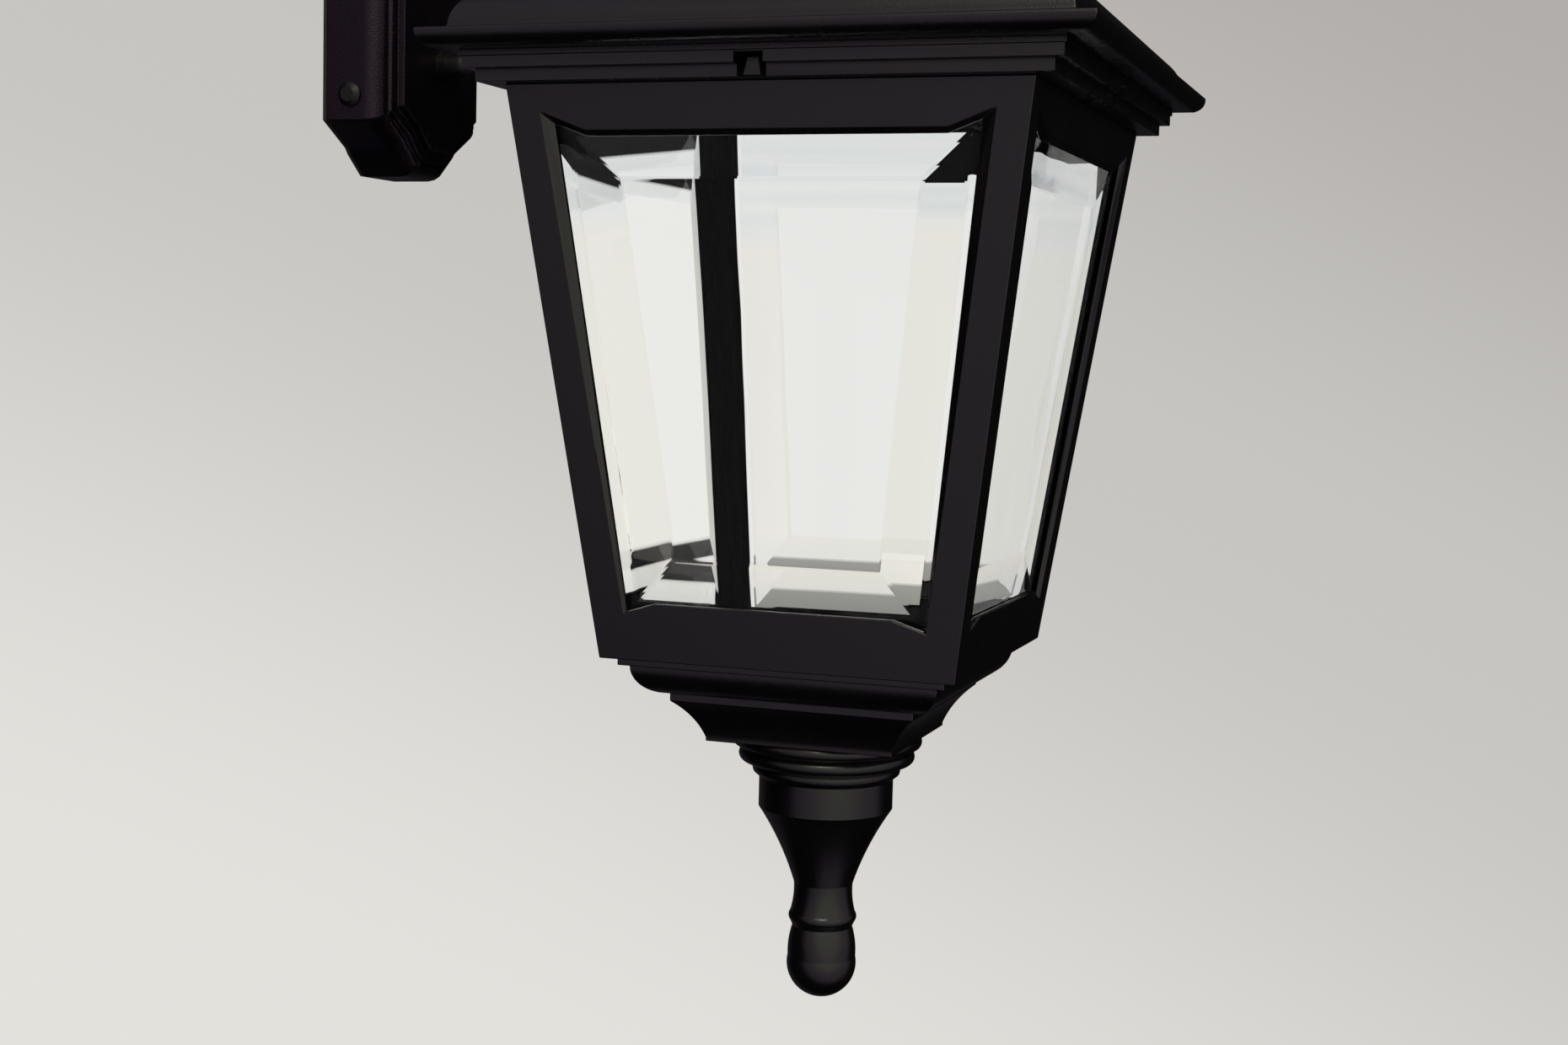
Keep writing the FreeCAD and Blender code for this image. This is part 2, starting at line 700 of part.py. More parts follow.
roof_holes.append(cylinder("crown_hole", "spigot_radius + spigot_play", f"roof_crown + {2 * OVER}",
                           z=f"{CEILING} - {OVER}"))
roof_solid = joined("roof_solid", [roof_shell, bosses])
hang(node(boolean("Cut", "roof_cut", roof_solid, joined("roof_bores", roof_holes)), "roof"))
group("roof_screws", [
    screw(f"roof_screw_{index}", "screw_head_radius", "screw_head", "screw_radius", "flange_thick + roof_screw_grip",
          f"reach + {a}{BOSS_HALF}", f"{b}{BOSS_HALF}", "-hang_height")
    for index, (a, b) in enumerate(CORNERS)
])

# Base moulding: square casting below the frame, an ovolo over a cavetto
BASE_TOP = "(-frame_height)"
BASE_FLANGE_HALF = "(frame_foot_half - base_flange_in)"
OVOLO_HALF = "(frame_foot_half - ovolo_in)"
FILLET_HALF = "(frame_foot_half - fillet_in)"
BASE_FOOT_HALF = "(frame_foot_half - base_foot_in)"
OVOLO_TOP = f"({BASE_TOP} - base_flange - ovolo_fillet)"
FILLET_TOP = f"({OVOLO_TOP} - ovolo_rise)"
CAVETTO_TOP = f"({FILLET_TOP} - fillet)"
CAVETTO_FOOT = f"({CAVETTO_TOP} - cavetto_rise)"
BASE_FOOT = f"({CAVETTO_FOOT} - base_foot)"
base_block = squared("base_block", [
    (BASE_FOOT_HALF, BASE_FOOT), (BASE_FOOT_HALF, CAVETTO_FOOT),
    (FILLET_HALF, CAVETTO_TOP, "cavetto_radius", -1), (FILLET_HALF, FILLET_TOP),
    (OVOLO_HALF, OVOLO_TOP, "ovolo_radius", 1), (OVOLO_HALF, f"{BASE_TOP} - base_flange"),
    (BASE_FLANGE_HALF, f"{BASE_TOP} - base_flange"), (BASE_FLANGE_HALF, BASE_TOP),
])
base_hollow = squared("base_hollow", [
    (f"{BASE_FOOT_HALF} - base_wall", f"{BASE_FOOT} + base_wall"), (f"{FILLET_HALF} - 2 * base_wall", CAVETTO_TOP),
    (f"{FILLET_HALF} - base_wall", f"{BASE_TOP} - base_flange - base_wall"),
    (f"{FILLET_HALF} - base_wall", f"{BASE_TOP} + {OVER}"),
])
base_bore = cylinder("base_bore", "bolt_radius + bolt_play", f"base_wall + {2 * OVER}", z=f"{BASE_FOOT} - {OVER}")
hang(node(boolean("Cut", "base_cut", base_block, joined("base_voids", [base_hollow, base_bore])), "base_moulding"))

# Bar across the frame's foot, and the bolt that carries the base and the finial
BAR_FOOT = "(foot_lip - frame_height)"
BAR_HALF = "(frame_foot_half - bar_in)"
bar_block = box("bar_block", f"2 * {BAR_HALF}", "bar_width", "bar_thick", f"-{BAR_HALF}", "-bar_width / 2", BAR_FOOT)
bar_bore = cylinder("bar_bore", "bolt_radius + bolt_play", f"bar_thick + {2 * OVER}", z=f"{BAR_FOOT} - {OVER}")
hang(node(boolean("Cut", "bar_cut", bar_block, bar_bore), "base_bar"))
BAR_TOP = f"({BAR_FOOT} + bar_thick)"
bolt_head = doc.addObject("Part::Prism", "bolt_hexagon")
bolt_head.Polygon = 6
tie(bolt_head, "Circumradius", "bolt_flats / sqrt(3)")
tie(bolt_head, "Height", "bolt_head")
place(bolt_head, z=BAR_TOP)
bolt_shank = cylinder("bolt_shank", "bolt_radius", f"{BAR_TOP} - {BASE_FOOT} + bolt_grip", z=f"{BASE_FOOT} - bolt_grip")
hang(node(joined("bolt_whole", [bolt_head, bolt_shank]), "finial_bolt"))

# Finial: three stepped rings, a drum, a bell and an acorn tip
RING_FOOT = f"({BASE_FOOT} - ring_height)"
MID_TOP = f"({RING_FOOT} - ring_step)"
MID_FOOT = f"({MID_TOP} - mid_ring_height)"
LOW_TOP = f"({MID_FOOT} - ring_step)"
LOW_FOOT = f"({LOW_TOP} - low_ring_height)"
DRUM_TOP = f"({LOW_FOOT} - ring_step)"
DRUM_FOOT = f"({DRUM_TOP} - drum_height)"
BELL_FOOT = f"({DRUM_FOOT} - bell_height)"
NECK_FOOT = f"({BELL_FOOT} - neck_height)"
BEAD_FOOT = f"({NECK_FOOT} - bead_height)"
GROOVE_FOOT = f"({BEAD_FOOT} - groove_height)"
ACORN_WIDE = f"({GROOVE_FOOT} - acorn_shoulder)"
ACORN_TIP = f"({ACORN_WIDE} - acorn_round)"
ACORN_BALL = "((acorn_radius ^ 2 + acorn_round ^ 2) / (2 * acorn_round))"
hang(node(turned("finial_turning", [
    ("bolt_radius + bolt_play", f"{BASE_FOOT} - bolt_well"), ("bolt_radius + bolt_play", BASE_FOOT),
    ("ring_radius", BASE_FOOT), ("ring_radius", RING_FOOT, "ring_bulge", -1), ("mid_ring_radius", MID_TOP),
    ("mid_ring_radius", MID_FOOT, "ring_bulge", -1), ("low_ring_radius", LOW_TOP),
    ("low_ring_radius", LOW_FOOT, "ring_bulge", -1), ("drum_radius", DRUM_TOP), ("drum_radius", DRUM_FOOT),
    ("neck_radius", BELL_FOOT, "bell_bow", 1), ("bead_radius", NECK_FOOT, "neck_bow", 1),
    ("bead_radius", BEAD_FOOT, "ring_bulge", -1), ("groove_radius", GROOVE_FOOT),
    ("acorn_radius", ACORN_WIDE, "acorn_round * 2", -1), ("0", ACORN_TIP, ACORN_BALL, -1),
    ("0", f"{BASE_FOOT} - bolt_well"),
]), "finial"))

# Roof collar: turned ring between the roof's crown and the arm
COLLAR_TOP = f"({ROOF_TOP} + collar_foot + collar_sweep + collar_neck)"
hang(node(turned("collar_turning", [
    ("spigot_radius + spigot_play", ROOF_TOP), ("collar_foot_radius", ROOF_TOP),
    ("collar_foot_radius", f"{ROOF_TOP} + collar_foot"),
    ("collar_neck_radius", f"{ROOF_TOP} + collar_foot + collar_sweep", "collar_bow", -1),
    ("collar_neck_radius", COLLAR_TOP), ("spigot_radius + spigot_play", COLLAR_TOP),
]), "roof_collar"))

# Arm: hollow crook from the wall plate, up, over and down to the collar, with a spigot at each end
PLATE_FRONT = "(plate_side + cove_rise + low_step + panel_step)"
PLATE_INNER = f"({PLATE_FRONT} - plate_wall)"
ARM_END = f"({COLLAR_TOP} - hang_height)"
LEG = "(reach - 2 * crook_radius)"
CROOK_FOOT = "(elbow_radius + arm_rise)"
HOLDER_TOP = f"({CEILING} - hex_thick - hang_height)"
SPIGOT_END = f"({HOLDER_TOP} - holder_entry)"
SPIGOT_START = f"({PLATE_INNER} - hex_thick - spigot_past_nut)"


def crook(name, radius):
    """Round bar of one radius along the arm's path."""
    body = doc.addObject("PartDesign::Body", name)
    planes = {item.Role: item for item in body.Origin.OriginFeatures}
    spine = body.newObject("Sketcher::SketchObject", f"{name}_path")
    spine.AttachmentSupport = [(planes["XZ_Plane"], "")]
    spine.MapMode = "FlatFace"
    stops = [
        (PLATE_FRONT, "0"), (f"{LEG} - elbow_radius", "0"), (LEG, "elbow_radius", "elbow_radius"),
        (LEG, CROOK_FOOT), ("reach", CROOK_FOOT, "crook_radius"), ("reach", ARM_END),
    ]
    points = [V(size(stop[0]), size(stop[1]), 0) for stop in stops]
    elbow_middle = V(size(f"{LEG} - elbow_radius + elbow_radius * sin(45)"), size("elbow_radius * (1 - cos(45))"), 0)
    crown_middle = V(size("reach - crook_radius"), size(f"{CROOK_FOOT} + crook_radius"), 0)
    spine.addGeometry(Part.LineSegment(points[0], points[1]), False)
    spine.addGeometry(Part.Arc(points[1], elbow_middle, points[2]), False)
    spine.addGeometry(Part.LineSegment(points[2], points[3]), False)
    spine.addGeometry(Part.Arc(points[3], crown_middle, points[4]), False)
    spine.addGeometry(Part.LineSegment(points[4], points[5]), False)
    ring = body.newObject("Sketcher::SketchObject", f"{name}_ring")
    ring.AttachmentSupport = [(planes["YZ_Plane"], "")]
    ring.MapMode = "FlatFace"
    tie(ring, "AttachmentOffset.Base.z", PLATE_FRONT)
    circle = ring.addGeometry(Part.Circle(V(), V(0, 0, 1), size(radius)), False)
    ring.addConstraint(Sketcher.Constraint("Coincident", circle, 3, -1, 1))
    span = ring.addConstraint(Sketcher.Constraint("Radius", circle, size(radius)))
    tie(ring, f"Constraints[{span}]", radius)
    doc.recompute()
    pipe = body.newObject("PartDesign::AdditivePipe", f"{name}_sweep")
    pipe.Profile = ring
    pipe.Spine = (spine, [])
    return body


OUTWARD = "rotationy(90)"
arm_solid = joined("arm_solid", [
    crook("arm_tube", "tube_radius"),
    cylinder("foot_flange_disc", "foot_flange_radius", "foot_flange", PLATE_FRONT, turn=OUTWARD),
    cylinder("foot_spigot", "spigot_radius", f"{PLATE_FRONT} - {SPIGOT_START} + foot_flange", SPIGOT_START, turn=OUTWARD),
    cylinder("end_flange_disc", "end_flange_radius", "end_flange", "reach", "0", ARM_END),
    cylinder("end_spigot", "spigot_radius", f"{ARM_END} - {SPIGOT_END} + end_flange", "reach", "0", SPIGOT_END),
])
arm_bore = joined("arm_bore", [
    crook("arm_hollow", "tube_bore"),
    cylinder("foot_bore", "spigot_bore", f"{PLATE_FRONT} - {SPIGOT_START} + {2 * OVER}", f"{SPIGOT_START} - {OVER}",
             turn=OUTWARD),
    cylinder("end_bore", "spigot_bore", f"{ARM_END} - {SPIGOT_END} + {2 * OVER}", "reach", "0", f"{SPIGOT_END} - {OVER}"),
])
node(boolean("Cut", "arm_cut", arm_solid, arm_bore), "arm")
hex_nut("arm_nut", f"{PLATE_INNER} - hex_thick", "0", OUTWARD)
hex_nut("roof_nut", "reach", HOLDER_TOP, "rotationz(0)")

# Lampholder: ceramic body on the arm's lower spigot, with its brass shell and centre contact
HOLDER_FOOT = f"({HOLDER_TOP} - holder_length)"
HOLDER_CEILING = f"({HOLDER_TOP} - holder_roof)"
ENTRY_FLOOR = f"({HOLDER_TOP} - holder_entry - spigot_play)"
SOCKET = "(shell_bore + shell_wall + shell_play)"
place(node(turned("holder_turning", [
    ("0", ENTRY_FLOOR), ("spigot_radius + spigot_play", ENTRY_FLOOR), ("spigot_radius + spigot_play", HOLDER_TOP),
    ("holder_cap_radius", HOLDER_TOP), ("holder_cap_radius", f"{HOLDER_TOP} - holder_cap"),
    ("holder_radius", f"{HOLDER_TOP} - holder_cap - holder_shoulder"), ("holder_radius", HOLDER_FOOT),
    (SOCKET, HOLDER_FOOT), (SOCKET, HOLDER_CEILING), ("0", HOLDER_CEILING),
]), "lampholder"), "reach")
SHELL_FOOT = f"({HOLDER_FOOT} + shell_lip)"
place(node(turned("shell_turning", [
    ("shell_bore", SHELL_FOOT), ("shell_bore + shell_wall", SHELL_FOOT),
    ("shell_bore + shell_wall", f"{SHELL_FOOT} + shell_length"), ("shell_bore", f"{SHELL_FOOT} + shell_length"),
]), "lamp_shell"), "reach")
CONTACT_FACE = f"({HOLDER_CEILING} - contact_plate)"
place(node(turned("contact_turning", [
    ("0", f"{CONTACT_FACE} - contact_tip"), ("contact_tip_radius", f"{CONTACT_FACE} - contact_tip"),
    ("contact_radius", CONTACT_FACE), ("contact_radius", HOLDER_CEILING), ("0", HOLDER_CEILING),
]), "lamp_contact"), "reach")


# Wall plate: hollow casting with stepped ends, a cove and a raised panel, on a thin gasket
def plate_outline(inset, out):
    """Outline of the plate, moved in by an inset with mitred corners, at a distance from the wall."""
    quarter = [
        ("plate_half", "plate_end - end_fall - knee_fall - shoulder_fall"),
        ("plate_half - shoulder_in", "plate_end - end_fall - knee_fall"),
        ("plate_half - shoulder_in - knee_in", "plate_end - end_fall"),
        ("plate_half - shoulder_in - knee_in - end_in", "plate_end"),
    ]
    upper = [(size(a), size(b)) for a, b in quarter]
    loop = upper + [(-a, b) for a, b in reversed(upper)]
    loop += [(-a, -b) for a, b in upper] + [(a, -b) for a, b in reversed(upper)]
    corners = []
    for index, (across, up) in enumerate(loop):
        before = V(across - loop[index - 1][0], up - loop[index - 1][1], 0).normalize()
        after_point = loop[(index + 1) % len(loop)]
        after = V(after_point[0] - across, after_point[1] - up, 0).normalize()
        inward = V(-before.y - after.y, before.x + after.x, 0) / (1 + before.dot(after))
        corners.append(V(out, across + inward.x * inset, up + inward.y * inset))
    return Part.makePolygon(corners + corners[:1])


def plate_layer(inset, start, end):
    """Flat layer of the plate between two distances from the wall."""
    return Part.Face(plate_outline(inset, start)).extrude(V(end - start, 0, 0))


def rod(radius, start, end):
    """Round rod between two points."""
    return Part.makeCylinder(radius, (end - start).Length, start, end - start)


gasket_thick, wall, side = size("gasket_thick"), size("plate_wall"), size("plate_side")
ledge = size("plate_side - ledge_wall")
cove_outlines = []
for step in range(COVE_SECTIONS):
    swing = math.pi / 2 * step / (COVE_SECTIONS - 1)
    cove_inset = size("cove_ledge") + size("cove_run") * math.sin(swing)
    cove_outlines.append(plate_outline(cove_inset, side + size("cove_rise") * (1 - math.cos(swing))))
low_top = size("plate_side + cove_rise + low_step")
plate_solid = plate_layer(0, gasket_thick, side).multiFuse([
    Part.makeLoft(cove_outlines, True, True),
    plate_layer(size("low_step_inset"), side, low_top),
    plate_layer(size("panel_inset"), side, size(PLATE_FRONT)),
])
side_in = V(size("side_screw_out"), 0, -size("plate_end - side_screw_in"))
plate_half = V(0, size("plate_half"), 0)
plate_bores = [rod(size("spigot_radius + spigot_play"), V(), V(size(PLATE_FRONT) + OVER, 0, 0))]
for sign in (1, -1):
    stud_spot = V(0, 0, sign * size("plate_end - stud_in"))
    plate_bores.append(rod(size("stud_radius + stud_play"), stud_spot, stud_spot + V(size(PLATE_FRONT) + OVER, 0, 0)))
    plate_bores.append(rod(size("side_screw_radius + stud_play"), side_in + plate_half * sign * 0.5,
                           side_in + plate_half * sign * 1.5))
plate_voids = [
    plate_layer(wall, 0, ledge),
    plate_layer(size("panel_inset + plate_wall"), gasket_thick, size(PLATE_INNER)),
]
wall_plate = doc.addObject("Part::Feature", "wall_plate")
wall_plate.Shape = plate_solid.cut(plate_voids + plate_bores).removeSplitter()
node(wall_plate, "wall_plate")
gasket = doc.addObject("Part::Feature", "plate_gasket")
gasket.Shape = plate_layer(size("gasket_inset"), 0, gasket_thick).cut(
    plate_layer(size("gasket_inset + gasket_width"), -OVER, gasket_thick + OVER))
node(gasket, "plate_gasket")

# Mounting bracket: flat steel strap with two ears folded out beside the plate's walls
EAR_FACE = "(plate_half - plate_wall - ear_play)"
STRAP_END = "(plate_end - strap_in)"
STUD = "(plate_end - stud_in)"
SIDE_SCREW = "(plate_end - side_screw_in)"
EAR_DEPTH = "(plate_side - ledge_wall - ear_play)"
strap = box("strap", "strap_thick", "2 * strap_half", f"2 * {STRAP_END}", "0", "-strap_half", f"-{STRAP_END}")
cross = box("cross_strap", "strap_thick", f"2 * {EAR_FACE}", "ear_height", "0", f"-{EAR_FACE}",
            f"-{SIDE_SCREW} - ear_height / 2")
ears = [
    box(f"ear_{index}", EAR_DEPTH, "strap_thick", "ear_height", "0", y, f"-{SIDE_SCREW} - ear_height / 2")
    for index, y in enumerate((f"-{EAR_FACE}", f"{EAR_FACE} - strap_thick"))
]
strap_bores = [
    cylinder("cable_hole", "cable_hole_radius", f"strap_thick + {2 * OVER}", f"-{OVER}", "0", "-cable_hole_drop", OUTWARD),
    cylinder("earth_hole", "earth_radius + screw_play", f"strap_thick + {2 * OVER}", f"-{OVER}", "earth_side",
             "-earth_drop", OUTWARD),
    cylinder("ear_hole", "side_screw_radius + screw_play", f"2 * {EAR_FACE} + {2 * OVER}", "side_screw_out",
             f"{EAR_FACE} + {OVER}", f"-{SIDE_SCREW}", "rotationx(90)"),
]
for index, sign in enumerate(("", "-")):
    for name, radius, spot in (("wall_hole", "wall_hole_radius", "wall_hole_spacing / 2"),
                                  ("stud_hole", "stud_radius + screw_play", STUD)):
        strap_bores.append(cylinder(f"{name}_{index}", radius, f"strap_thick + {2 * OVER}", f"-{OVER}", "0",
                                    f"{sign}{spot}", OUTWARD))
bracket_solid = joined("bracket_solid", [strap, cross] + ears)
node(boolean("Cut", "bracket_cut", bracket_solid, joined("bracket_bores", strap_bores)), "mounting_bracket")

# Studs and domed nuts that hold the plate, and the screws through its sides
NUT_SEAT = PLATE_FRONT
group("bracket_studs", [
    cylinder(f"stud_{index}", "stud_radius", f"{NUT_SEAT} + stud_grip", "0", "0", f"{sign}{STUD}", OUTWARD)
    for index, sign in enumerate(("", "-"))
])
group("cap_nuts", [
    place(turned(f"cap_nut_{index}", [
        ("stud_radius + screw_play", "0"), ("nut_flange_radius", "0"), ("nut_flange_radius", "nut_flange"),
        ("nut_dome_radius", "nut_flange"), ("nut_dome_radius", "nut_flange + nut_barrel"),
        ("0", "nut_flange + nut_barrel + nut_dome_radius", "nut_dome_radius", 1), ("0", "nut_well"),
        ("stud_radius + screw_play", "nut_well"),
    ]), NUT_SEAT, "0", f"{sign}{STUD}", OUTWARD)
    for index, sign in enumerate(("", "-"))
])
group("side_screws", [
    screw(f"side_screw_{index}", "side_head_radius", "side_head", "side_screw_radius", "side_screw_length",
          "side_screw_out", f"{sign}plate_half", f"-{SIDE_SCREW}", turn)
    for index, (sign, turn) in enumerate((("", "rotationx(90)"), ("-", "rotationx(-90)")))
])

# Wiring pieces on the bracket
place(node(turned("grommet_turning", [
    ("grommet_bore", "0"), ("cable_hole_radius - screw_play", "0"), ("cable_hole_radius - screw_play", "strap_thick"),
    ("grommet_flange_radius", "strap_thick"), ("grommet_flange_radius", "strap_thick + grommet_flange"),
    ("grommet_bore", "strap_thick + grommet_flange"),
]), "cable_grommet"), "0", "0", "-cable_hole_drop", OUTWARD)
POLES = ("-pole_pitch", "0", "pole_pitch")
block_foot = "block_rise - block_tall / 2"
block_body = box("block_body", "block_out", "2 * block_half", "block_tall", "strap_thick", "-block_half", block_foot)
block_face = "(strap_thick + block_out)"
block_bores = []
for index, pole in enumerate(POLES):
    block_bores.append(cylinder(f"wire_way_{index}", "wire_radius", f"block_tall + {2 * OVER}", "strap_thick + wire_out",
                                pole, f"{block_foot} - {OVER}"))
    block_bores.append(cylinder(f"clamp_way_{index}", "clamp_well_radius", f"clamp_well + {OVER}",
                                f"{block_face} - clamp_well", pole, "block_rise", OUTWARD))
node(boolean("Cut", "block_cut", block_body, joined("block_ways", block_bores)), "terminal_block")
group("terminal_screws", [
    cylinder(f"clamp_screw_{index}", "clamp_radius", "clamp_length", f"{block_face} - clamp_well", pole, "block_rise",
             OUTWARD)
    for index, pole in enumerate(POLES)
])
node(screw("earth_turning", "earth_head_radius", "earth_head", "earth_radius", "strap_thick - screw_play", "strap_thick",
           "earth_side", "-earth_drop", "rotationy(-90)"), "earth_screw")

doc.recompute()
for item in doc.Objects:
    if "Invalid" in item.State or "Error" in item.State:
        raise RuntimeError(f"{item.Name} failed: {item.State}")
for item in nodes:
    if item.Shape.isNull() or not item.Shape.isValid() or not item.Shape.Solids:
        raise RuntimeError(f"{item.Label} has no valid solid")
os.makedirs("parts", exist_ok=True)
for item in nodes:
    item.Shape.exportStep(f"parts/{item.Label}.step")
    print(item.Label, len(item.Shape.Solids), round(item.Shape.Volume), item.Shape.BoundBox)
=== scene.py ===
import bpy
import bmesh
import math
from mathutils import Matrix, Vector


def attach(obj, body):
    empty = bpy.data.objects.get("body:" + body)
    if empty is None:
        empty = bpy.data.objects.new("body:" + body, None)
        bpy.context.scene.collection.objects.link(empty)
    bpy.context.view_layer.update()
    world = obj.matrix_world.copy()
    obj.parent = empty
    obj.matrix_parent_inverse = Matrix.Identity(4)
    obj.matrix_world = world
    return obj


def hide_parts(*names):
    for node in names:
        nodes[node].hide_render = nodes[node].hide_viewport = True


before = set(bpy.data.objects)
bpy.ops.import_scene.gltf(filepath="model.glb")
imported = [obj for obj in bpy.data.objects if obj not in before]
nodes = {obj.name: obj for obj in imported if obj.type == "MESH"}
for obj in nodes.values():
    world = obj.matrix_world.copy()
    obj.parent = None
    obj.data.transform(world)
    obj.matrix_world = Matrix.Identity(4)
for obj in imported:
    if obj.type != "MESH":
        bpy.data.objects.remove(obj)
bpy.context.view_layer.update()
scene = bpy.context.scene

# Camera: a little right of the lantern's side face and level with its panes, looking slightly down.
# A lens of about 48 mm, turned a degree and a half about its own axis.
camera_data = bpy.data.cameras.new("camera")
camera_data.lens = 48.46
camera_data.sensor_width = 36.0
camera_data.sensor_fit = "HORIZONTAL"
camera_data.clip_start = 0.01
camera = bpy.data.objects.new("camera", camera_data)
scene.collection.objects.link(camera)
yaw, pitch, roll = math.radians(19.06), math.radians(4.83), math.radians(1.44)
level_right = Vector((math.cos(yaw), math.sin(yaw), 0))
level_ahead = Vector((-math.sin(yaw), math.cos(yaw), 0))
ahead = level_ahead * math.cos(pitch) - Vector((0, 0, math.sin(pitch)))
upward = level_ahead * math.sin(pitch) + Vector((0, 0, math.cos(pitch)))
right = level_right * math.cos(roll) + upward * math.sin(roll)
above = upward * math.cos(roll) - level_right * math.sin(roll)
camera.matrix_world = Matrix((right, above, -ahead)).transposed().to_4x4()
camera.location = (0.4519, -0.7787, -0.1794)
scene.camera = camera
scene.view_settings.view_transform = "Standard"

# Studio: a pale surround that grows lighter downwards. Its light is one broad, soft bank in front, right
# and above, with a weak fill behind on the left. A paler wall stands where the glass is looked through.
world = bpy.data.worlds.new("studio")
scene.world = world
world.use_nodes = True
tree = world.node_tree
tree.nodes.clear()
link = tree.links.new
direction = tree.nodes.new("ShaderNodeTexCoord")


def fill_ramp(ramp, stops):
    """Give a colour ramp its stops, pairs of position and colour."""
    while len(ramp.color_ramp.elements) < len(stops):
        ramp.color_ramp.elements.new(0.5)
    for element, (position, colour) in zip(ramp.color_ramp.elements, stops):
        element.position = position
        element.color = (*colour, 1)


def surround(name, towards, stops):
    """Background whose colour runs along a direction, from the far side to the near side."""
    lean = tree.nodes.new("ShaderNodeVectorMath")
    lean.operation = "DOT_PRODUCT"
    lean.inputs[1].default_value = Vector(towards).normalized()
    half = tree.nodes.new("ShaderNodeMath")
    half.operation = "MULTIPLY_ADD"
    half.inputs[1].default_value = 0.5
    half.inputs[2].default_value = 0.5
    ramp = tree.nodes.new("ShaderNodeValToRGB")
    ramp.color_ramp.interpolation = "EASE"
    fill_ramp(ramp, stops)
    background = tree.nodes.new("ShaderNodeBackground")
    background.name = name
    link(direction.outputs["Generated"], lean.inputs[0])
    link(lean.outputs["Value"], half.inputs[0])
    link(half.outputs[0], ramp.inputs[0])
    link(ramp.outputs[0], background.inputs["Color"])
    return background


seen = surround("seen", (-0.45, 0, -1), [
    (0.42, (0.44, 0.42, 0.405)), (0.56, (0.575, 0.56, 0.535)), (0.74, (0.765, 0.755, 0.72)),
])
lit = surround("lit", (0.656, -0.755, 0.5), [
    (0.03, (0.045, 0.04, 0.048)), (0.13, (0.006, 0.006, 0.006)), (0.50, (0.008, 0.008, 0.008)),
    (0.57, (0.34, 0.30, 0.35)), (0.72, (0.42, 0.37, 0.43)), (0.95, (0.86, 0.87, 0.74)),
])
through = surround("through", (1, 0, 0), [
    (0.20, (0.86, 0.86, 0.83)), (0.38, (0.83, 0.83, 0.81)), (0.43, (1.0, 0.99, 0.97)),
])
path = tree.nodes.new("ShaderNodeLightPath")
undimmed = tree.nodes.new("ShaderNodeMath")
undimmed.operation = "LESS_THAN"
undimmed.inputs[1].default_value = 0.5
looking_through = tree.nodes.new("ShaderNodeMath")
looking_through.operation = "MULTIPLY"
mix_through = tree.nodes.new("ShaderNodeMixShader")
mix_seen = tree.nodes.new("ShaderNodeMixShader")
output = tree.nodes.new("ShaderNodeOutputWorld")
link(path.outputs["Diffuse Depth"], undimmed.inputs[0])
link(path.outputs["Is Transmission Ray"], looking_through.inputs[0])
link(undimmed.outputs[0], looking_through.inputs[1])
link(looking_through.outputs[0], mix_through.inputs[0])
link(lit.outputs[0], mix_through.inputs[1])
link(through.outputs[0], mix_through.inputs[2])
link(path.outputs["Is Camera Ray"], mix_seen.inputs[0])
link(mix_through.outputs[0], mix_seen.inputs[1])
link(seen.outputs[0], mix_seen.inputs[2])
link(mix_seen.outputs[0], output.inputs["Surface"])

# Key lamp: one soft square lamp above on the right, which gives the floor its shadow.
# It is a light only, and is seen neither by the camera nor through the panes.
key_data = bpy.data.lights.new("key", "AREA")
key_data.energy = 8
key_data.size = 0.7
key_data.color = (1.0, 0.98, 0.74)
key = bpy.data.objects.new("key", key_data)
key.location = (0.55, -1.25, 0.95)
lantern_middle = Vector((0.2, 0, -0.2))
key.rotation_euler = (lantern_middle - key.location).to_track_quat("-Z", "Y").to_euler()
key.visible_camera = False
key.visible_transmission = False
scene.collection.objects.link(key)

